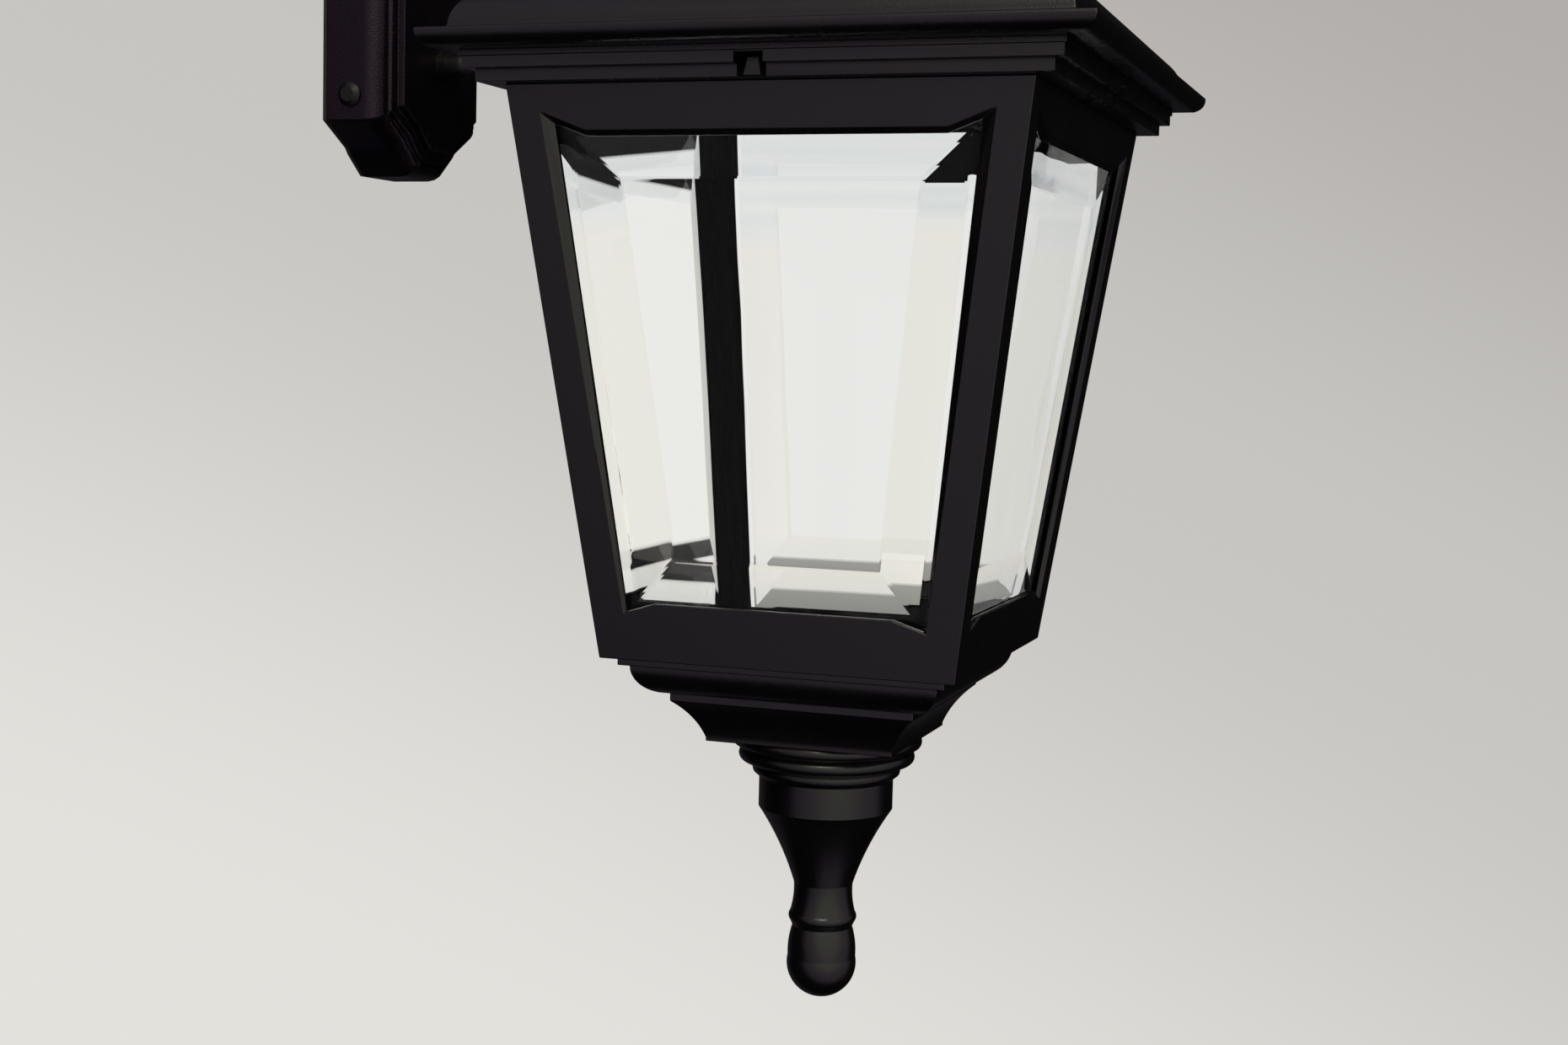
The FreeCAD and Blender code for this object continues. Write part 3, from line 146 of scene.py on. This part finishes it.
# Mounting bracket: a folded steel strap that is screwed to the wall, with two riveted studs.
# Bracket, studs and clamp screws are plated with zinc and keep the faint grain of rolled steel.
def finish(name, base, roughness, mottle, grain, depth, metal=0.0, shine=0.5):
    """Finish whose colour and gloss wander a little, with a grain in relief; scales are per metre."""
    tone_swing, gloss_swing = 0.18, 0.07
    material = bpy.data.materials.new(name)
    material.use_nodes = True
    tree = material.node_tree
    shader = tree.nodes["Principled BSDF"]
    shader.inputs["Metallic"].default_value = metal
    shader.inputs["Specular IOR Level"].default_value = shine
    place = tree.nodes.new("ShaderNodeTexCoord")
    clouds = tree.nodes.new("ShaderNodeTexNoise")
    clouds.inputs["Scale"].default_value = mottle
    clouds.inputs["Detail"].default_value = 5
    colours = tree.nodes.new("ShaderNodeValToRGB")
    darker = [value * (1 - tone_swing) for value in base]
    lighter = [value * (1 + tone_swing) for value in base]
    fill_ramp(colours, [(0.3, darker), (0.7, lighter)])
    gloss = tree.nodes.new("ShaderNodeMapRange")
    gloss.inputs["To Min"].default_value = roughness - gloss_swing
    gloss.inputs["To Max"].default_value = roughness + gloss_swing
    pits = tree.nodes.new("ShaderNodeTexNoise")
    pits.inputs["Scale"].default_value = grain
    pits.inputs["Detail"].default_value = 2
    bump = tree.nodes.new("ShaderNodeBump")
    bump.inputs["Strength"].default_value = 0.5
    bump.inputs["Distance"].default_value = depth
    tree.links.new(place.outputs["Object"], clouds.inputs["Vector"])
    tree.links.new(place.outputs["Object"], pits.inputs["Vector"])
    tree.links.new(clouds.outputs["Fac"], colours.inputs[0])
    tree.links.new(clouds.outputs["Fac"], gloss.inputs["Value"])
    tree.links.new(pits.outputs["Fac"], bump.inputs["Height"])
    tree.links.new(colours.outputs[0], shader.inputs["Base Color"])
    tree.links.new(gloss.outputs["Result"], shader.inputs["Roughness"])
    tree.links.new(bump.outputs["Normal"], shader.inputs["Normal"])
    return material


def dress(material, *names):
    """Give pieces that keep their solid's shape their finish."""
    for name in names:
        nodes[name].data.materials.clear()
        nodes[name].data.materials.append(material)


zinc = finish("zinc_plate", (0.50, 0.505, 0.51), 0.38, 60, 900, 0.0001, metal=1.0)
dress(zinc, "mounting_bracket", "bracket_studs", "terminal_screws")

# Cable grommet: a black rubber ring pressed into the strap's cable hole.
# It is moulded soft, with a dull skin, and keeps the cable off the steel's edge.
rubber = finish("grommet_rubber", (0.022, 0.022, 0.022), 0.7, 120, 2500, 0.00008)
dress(rubber, "cable_grommet")

# Terminal block: three poles in one white moulded body, fixed to the strap above the cable hole.
# The plastic is plain and slightly dull, as injection moulded parts are.
white_plastic = finish("terminal_plastic", (0.72, 0.72, 0.69), 0.5, 90, 1800, 0.00006)
dress(white_plastic, "terminal_block")

# Earth screw: turned brass, screwed into the strap beside the cable hole.
# The bare metal is left bright so that the wire makes contact.
brass = finish("brass", (0.62, 0.42, 0.17), 0.3, 110, 1200, 0.00006, metal=1.0)
dress(brass, "earth_screw")

# Plate gasket: a frame of foamed rubber, squeezed between the plate's rim and the wall.
# It is cut from sheet and keeps rain out of the wiring space.
foam = finish("gasket_foam", (0.018, 0.018, 0.018), 0.9, 200, 1100, 0.0006)
dress(foam, "plate_gasket")

# Wall plate: cast aluminium, hollow behind, under a sandy black powder coat.
# Its front edge is a broad round with two fine steps above it, which runs on round the stepped ends.
# The coat is laid thick, so every edge of the casting is softly rounded.
def merged(node):
    """Copy of a solid's mesh, its loose triangles joined at their corners."""
    shape = bmesh.new()
    shape.from_mesh(nodes[node].data)
    bmesh.ops.remove_doubles(shape, verts=shape.verts, dist=1e-6)
    return shape


def join_flats(shape):
    """Make one face of the triangles that lie in one plane."""
    bmesh.ops.dissolve_limit(shape, angle_limit=math.radians(0.5), verts=shape.verts, edges=shape.edges)


def softened(name, node, radius, material, least=25, shortest=0.0, inside=None, reshape=None):
    """Casting in place of its sharp solid, with edges over a least angle and length rounded."""
    shape = merged(node)
    if reshape:
        reshape(shape)
    join_flats(shape)
    ridges = [edge for edge in shape.edges if edge.is_manifold and edge.calc_length() > shortest
              and edge.calc_face_angle() > math.radians(least)]
    bmesh.ops.bevel(shape, geom=ridges, offset=radius, offset_type="OFFSET", affect="EDGES", segments=2,
                    profile=0.5, material=-1, clamp_overlap=False)
    middle = sum((Vector(corner) for corner in nodes[node].bound_box), Vector()) / 8
    inner_lean = 0.3
    for face in shape.faces:
        face.smooth = True
        inwards = (middle - face.calc_center_median()) * Vector((1, 1, 0))
        face.material_index = int(inside is not None and face.normal.dot(inwards.normalized()) > inner_lean)
    mesh = bpy.data.meshes.new(name)
    shape.to_mesh(mesh)
    shape.free()
    mesh.set_sharp_from_angle(angle=math.radians(35))
    mesh.materials.append(material)
    if inside:
        mesh.materials.append(inside)
    piece = bpy.data.objects.new(name, mesh)
    scene.collection.objects.link(piece)
    flats = piece.modifiers.new("flats", "WEIGHTED_NORMAL")
    flats.keep_sharp = True
    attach(piece, "root")
    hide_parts(node)


def round_front(shape):
    """Give the plate's front its round and steps: depth and inset in the solid, then on the casting."""
    mm, near = 0.001, 0.05
    ledge_depth, cove_depth = 18.0, 25.0
    corners = [Vector(point) for point in ((41.5, 95.8), (24.7, 105.2), (22.6, 107.6), (12.3, 115.6))]
    around = [Vector((41.5, -95.8)), *corners, Vector((-12.3, 115.6))]
    steps = [
        ((18.0, 2.0), (20.8, 0.5)), ((18.94, 7.0), (23.3, 1.8)), ((21.5, 10.66), (25.4, 4.0)),
        ((25.0, 12.0), (25.4, 6.1)), ((25.0, 12.3), (25.4, 6.4)), ((26.5, 12.3), (27.2, 6.8)),
        ((26.5, 13.3), (27.2, 10.8)), ((30.5, 13.3), (30.5, 10.8)),
    ]
    moves = {}
    for index, corner in enumerate(corners):
        before = (corner - around[index]).normalized()
        after = (around[index + 2] - corner).normalized()
        inward = Vector((-before.y - after.y, before.x + after.x)) / (1 + before.dot(after))
        for (depth, inset), (new_depth, new_inset) in steps:
            spot = corner + inward * inset
            moved = corner + inward * new_inset
            for vert in shape.verts:
                out, across, up = vert.co / mm
                if (Vector((out, abs(across), abs(up))) - Vector((depth, *spot))).length < near:
                    across, up = math.copysign(moved.x, across), math.copysign(moved.y, up)
                    moves[vert] = Vector((new_depth, across, up)) * mm
    strays = [vert for vert in shape.verts
              if ledge_depth + near < vert.co.x / mm < cove_depth - near and vert not in moves]
    bmesh.ops.dissolve_verts(shape, verts=strays)
    on_ledge = {vert for vert in shape.verts if abs(vert.co.x / mm - ledge_depth) < near}
    ledge = [face for face in shape.faces if on_ledge.issuperset(face.verts)]
    bmesh.ops.delete(shape, geom=ledge, context="FACES")
    rims = [edge for edge in shape.edges if edge.is_boundary and on_ledge.issuperset(edge.verts)]
    bmesh.ops.bridge_loops(shape, edges=rims)
    for vert, place in moves.items():
        vert.co = place
    bmesh.ops.recalc_face_normals(shape, faces=shape.faces)


plate_coat = finish("plate_coat", (0.0024, 0.0020, 0.0024), 0.34, 70, 1500, 0.0004, shine=0.28)
plate_shader = plate_coat.node_tree.nodes["Principled BSDF"]
plate_shader.inputs["Specular Tint"].default_value = (0.95, 0.66, 1.0, 1)
softened("wall_plate_cast", "wall_plate", 0.0006, plate_coat, reshape=round_front)

# Cap nuts and side screws: small turned steel fixings that hold the plate to its bracket.
# They are blackened all over, and about as dull as the coat round them.
black_steel = finish("black_steel", (0.0035, 0.0033, 0.0035), 0.4, 150, 2500, 0.00005, shine=0.3)
dress(black_steel, "cap_nuts", "side_screws")

# Arm and collar: a hollow cast crook with a threaded spigot at each end, and a turned collar under it.
# Both carry the satin black powder coat that all the lantern's castings have; zinc plated nuts hold them.
coat = finish("powder_coat", (0.0024, 0.0020, 0.0024), 0.26, 45, 1700, 0.00012)
dress(coat, "arm", "roof_collar")
dress(zinc, "arm_nut", "roof_nut")

# Roof and cornice: a cast pyramid with a rounded eave, and a stepped ring below it, notched in each side.
# A small tapered lug stands in each notch; zinc plated screws hold the ring to the roof and to the posts.
def raise_lugs(shape):
    """Raise a tapered lug on the sloping back of each notch, from its foot to near its head."""
    margin, head_out, head_taper, foot_out, foot_drop = 0.0021, 0.0036, 0.4, 0.0008, 0.0014
    join_flats(shape)
    backs = [face for face in shape.faces if 0.5 < face.normal.z < 0.7 and len(face.verts) == 4]
    bmesh.ops.inset_individual(shape, faces=backs, thickness=margin, use_even_offset=True)
    for back in backs:
        out = (back.normal * Vector((1, 1, 0))).normalized()
        lug = bmesh.ops.extrude_discrete_faces(shape, faces=[back])["faces"][0]
        middle = lug.calc_center_median()
        for vert in lug.verts:
            along = (vert.co - middle) - out * out.dot(vert.co - middle)
            along.z = 0
            if vert.co.z > middle.z:
                vert.co += out * head_out - along * head_taper
            else:
                vert.co += out * foot_out - Vector((0, 0, foot_drop))


softened("roof_cast", "roof", 0.0006, coat)
softened("cornice_cast", "cornice_ring", 0.00015, coat, shortest=0.012, reshape=raise_lugs)
dress(zinc, "roof_screws", "post_screws")

# Lantern frame: one tapered casting, four posts with grooves for the panes, joined by shouldered rails.
# Its windows have sloping reveals, from which the casting drew out of its mould.
# Faces that look inwards get a duller and slightly darker copy of the coat: painted shade inside the frame.
inner_shade_coat = finish("inner_shade_coat", (0.0022, 0.0019, 0.0020), 0.85, 60, 1700, 0.0002, shine=0.03)
softened("frame_cast", "lantern_frame", 0.0004, coat, least=8, inside=inner_shade_coat)

# Base and finial: a cast square moulding and a turned finial, drawn up to the frame by one bolt.
# The bolt and the bar that it pulls on are zinc plated steel, inside the frame's foot.
softened("base_cast", "base_moulding", 0.0004, coat)
dress(coat, "finial")
dress(zinc, "base_bar", "finial_bolt")

# Panes: clear glass with a polished bevel round the inner face, slightly wavy as rolled glass is.
# They slide down the posts' grooves from the frame's top, and the cornice ring keeps them in.
# The wall-side pane's end bevels carry painted shade, black bands near the foot and at the head, for the
# dark rail seen through them.
def glass(name, bend, tints=()):
    """Clear glass that bends light, slightly wavy; tints of painted light may run from the window's foot to
    its head.
    """
    window_foot, window_head = -0.275, -0.1068
    material = bpy.data.materials.new(name)
    material.use_nodes = True
    tree = material.node_tree
    shader = tree.nodes["Principled BSDF"]
    shader.inputs["Base Color"].default_value = (0.985, 0.99, 0.985, 1)
    shader.inputs["Roughness"].default_value = 0.0
    shader.inputs["IOR"].default_value = bend
    shader.inputs["Specular Tint"].default_value = (0.12, 0.12, 0.12, 1)
    shader.inputs["Transmission Weight"].default_value = 1.0
    place = tree.nodes.new("ShaderNodeTexCoord")
    waves = tree.nodes.new("ShaderNodeTexNoise")
    waves.inputs["Scale"].default_value = 22
    waves.inputs["Detail"].default_value = 1
    bump = tree.nodes.new("ShaderNodeBump")
    bump.inputs["Strength"].default_value = 0.15
    bump.inputs["Distance"].default_value = 0.002
    tree.links.new(place.outputs["Object"], waves.inputs["Vector"])
    tree.links.new(waves.outputs["Fac"], bump.inputs["Height"])
    tree.links.new(bump.outputs["Normal"], shader.inputs["Normal"])
    if tints:
        split = tree.nodes.new("ShaderNodeSeparateXYZ")
        height = tree.nodes.new("ShaderNodeMapRange")
        height.inputs["From Min"].default_value = window_foot
        height.inputs["From Max"].default_value = window_head
        ramp = tree.nodes.new("ShaderNodeValToRGB")
        fill_ramp(ramp, tints)
        tree.links.new(place.outputs["Object"], split.inputs[0])
        tree.links.new(split.outputs["Z"], height.inputs["Value"])
        tree.links.new(height.outputs["Result"], ramp.inputs[0])
        tree.links.new(ramp.outputs[0], shader.inputs["Base Color"])
    return material


# The bevels' tints are painted light and reflection: greyer at the foot, warm in the middle, and pale and
# bluish streaks towards the head.
bevel_painted_light = [
    (0.0, (0.80, 0.81, 0.80)), (0.06, (0.88, 0.87, 0.84)), (0.10, (0.92, 0.90, 0.84)),
    (0.80, (0.92, 0.90, 0.84)), (0.85, (0.84, 0.86, 0.88)), (0.88, (0.78, 0.82, 0.85)),
    (0.905, (0.90, 0.92, 0.93)), (0.93, (0.79, 0.83, 0.86)), (0.955, (0.91, 0.93, 0.94)),
    (0.98, (0.82, 0.85, 0.87)), (1.0, (0.93, 0.94, 0.95)),
]
# Painted shade: black bands near the foot and at the head of the wall-side pane's end bevels, for the dark
# rail behind.
shade_black = (0.0002, 0.0002, 0.0002)
darkened_end_tints = [
    (0.0, (0.80, 0.81, 0.80)), (0.05, (0.86, 0.86, 0.84)), (0.054, shade_black), (0.095, shade_black),
    (0.099, (0.86, 0.86, 0.84)), (0.16, (0.92, 0.90, 0.84)),
    (0.80, (0.92, 0.90, 0.84)), (0.935, (0.84, 0.86, 0.88)), (0.94, shade_black), (1.0, shade_black),
]
# The right pane's end bevels are dark along their foot: painted shade.
foot_shade_tints = [
    (0.0, (0.12, 0.12, 0.11)), (0.045, (0.16, 0.16, 0.15)), (0.05, (0.88, 0.87, 0.84)), *bevel_painted_light[2:],
]
clear_part, side_bevel, end_bevel, flatter_foot = range(4)
ridge_round = 0.0009
flatter_below = -0.2515
flatter_bend = 1.05
for node, bend, tints in (
    ("pane_left", 1.5, bevel_painted_light), ("pane_front", 1.15, bevel_painted_light),
    ("pane_right", 1.5, foot_shade_tints), ("pane_back", 1.15, darkened_end_tints),
):
    shape = merged(node)
    join_flats(shape)
    outwards = max(shape.faces, key=lambda face: face.calc_area()).normal.copy()
    sideways = outwards.cross(Vector((0, 0, 1)))
    ridges = [edge for edge in shape.edges if 0.05 < edge.calc_face_angle() < 0.6]
    bmesh.ops.bevel(shape, geom=ridges, offset=ridge_round, offset_type="OFFSET", affect="EDGES",
                    segments=2, profile=0.5, material=-1)
    for face in shape.faces:
        if 0.02 < face.normal.angle(-outwards) < 0.8:
            face.material_index = side_bevel if abs(face.normal.dot(sideways)) > 0.1 else end_bevel
        else:
            face.material_index = clear_part
    if node == "pane_left":
        right_bevel = [face for face in shape.faces
                       if face.material_index == side_bevel and face.normal.dot(sideways) < 0]
        borders = dict.fromkeys(part for face in right_bevel for part in (*face.verts, *face.edges))
        bmesh.ops.bisect_plane(shape, geom=[*right_bevel, *borders], plane_co=(0, 0, flatter_below),
                               plane_no=(0, 0, 1))
        for face in shape.faces:
            if face.material_index == side_bevel and face.normal.dot(sideways) < 0:
                if face.calc_center_median().z < flatter_below:
                    face.material_index = flatter_foot
    mesh = bpy.data.meshes.new(f"{node}_glass")
    shape.to_mesh(mesh)
    shape.free()
    mesh.materials.append(glass(f"{node}_clear", bend))
    mesh.materials.append(glass(f"{node}_bevel", bend, bevel_painted_light))
    mesh.materials.append(glass(f"{node}_end_bevel", bend, tints))
    if node == "pane_left":
        mesh.materials.append(glass(f"{node}_bevel_foot", flatter_bend, bevel_painted_light))
    piece = bpy.data.objects.new(f"{node}_glass", mesh)
    scene.collection.objects.link(piece)
    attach(piece, "root")
    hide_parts(node)

# Lampholder: moulded thermoset plastic, screwed on the end of the arm up in the roof.
# Its screw shell and centre contact are pressed from brass.
holder_plastic = finish("holder_plastic", (0.74, 0.73, 0.70), 0.45, 80, 1600, 0.00006)
dress(holder_plastic, "lampholder")
dress(brass, "lamp_shell", "lamp_contact")

# Floor: pale and plain, far below the lantern, fading into the surround.
# It takes the lantern's shadow and throws little light back.
floor_mesh = bpy.data.meshes.new("floor")
disc = bmesh.new()
bmesh.ops.create_circle(disc, cap_ends=True, segments=96, radius=6)
disc.to_mesh(floor_mesh)
disc.free()
floor = bpy.data.objects.new("floor", floor_mesh)
floor.location = (0.2, 0, -1.0)
scene.collection.objects.link(floor)
paint = bpy.data.materials.new("floor_paint")
paint.use_nodes = True
tree = paint.node_tree
shader = tree.nodes["Principled BSDF"]
shader.inputs["Base Color"].default_value = (0.75, 0.745, 0.73, 1)
shader.inputs["Roughness"].default_value = 0.9
place = tree.nodes.new("ShaderNodeTexCoord")
far = tree.nodes.new("ShaderNodeVectorMath")
far.operation = "LENGTH"
fade = tree.nodes.new("ShaderNodeMapRange")
fade_start, fade_end = 0.5, 1.4
fade.inputs["From Min"].default_value = fade_start
fade.inputs["From Max"].default_value = fade_end
fade.inputs["To Min"].default_value = 1
fade.inputs["To Max"].default_value = 0
path = tree.nodes.new("ShaderNodeLightPath")
visible = tree.nodes.new("ShaderNodeMath")
visible.operation = "MULTIPLY"
clear = tree.nodes.new("ShaderNodeBsdfTransparent")
blend = tree.nodes.new("ShaderNodeMixShader")
tree.links.new(place.outputs["Object"], far.inputs[0])
tree.links.new(far.outputs["Value"], fade.inputs["Value"])
tree.links.new(fade.outputs["Result"], visible.inputs[0])
tree.links.new(path.outputs["Is Camera Ray"], visible.inputs[1])
tree.links.new(visible.outputs[0], blend.inputs[0])
tree.links.new(clear.outputs[0], blend.inputs[1])
tree.links.new(shader.outputs[0], blend.inputs[2])
tree.links.new(blend.outputs[0], tree.nodes["Material Output"].inputs["Surface"])
floor_mesh.materials.append(paint)
